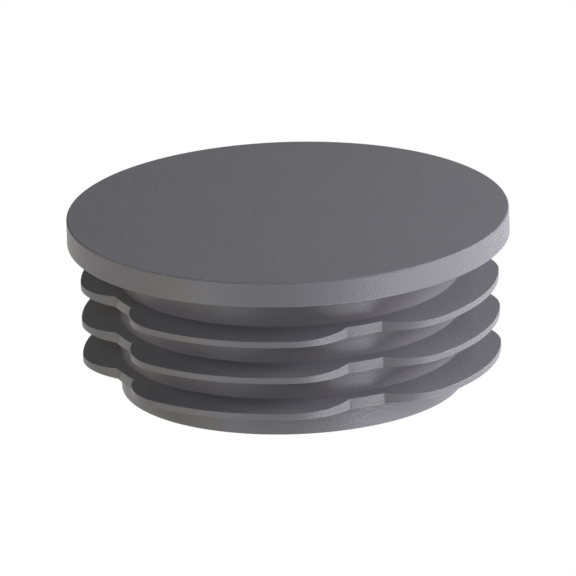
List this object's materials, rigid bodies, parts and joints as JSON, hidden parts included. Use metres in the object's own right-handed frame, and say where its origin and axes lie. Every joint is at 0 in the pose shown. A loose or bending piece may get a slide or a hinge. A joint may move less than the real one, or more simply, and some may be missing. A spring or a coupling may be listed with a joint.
{
  "type": "tube end cap",
  "caption": "Round push-in end cap for a tube: a flat disc head on a short hollow plug with thin lobed fins that grip the bore.",
  "frame": {"origin": "centre of the seat, the plane of the head's underside, where the end of the tube stops", "axes": "+Z along the cap's axis, out of the tube, towards the head's outer face; +X and +Y through the middles of two neighbouring lobes"},
  "size_m": [0.05, 0.05, 0.02],
  "materials": {
    "grained_plastic": "fine spark-eroded mould grain, satin to matt, dark grey"
  },
  "bodies": {
    "root": {"end_cap": "grained_plastic"}
  },
  "joints": []
}
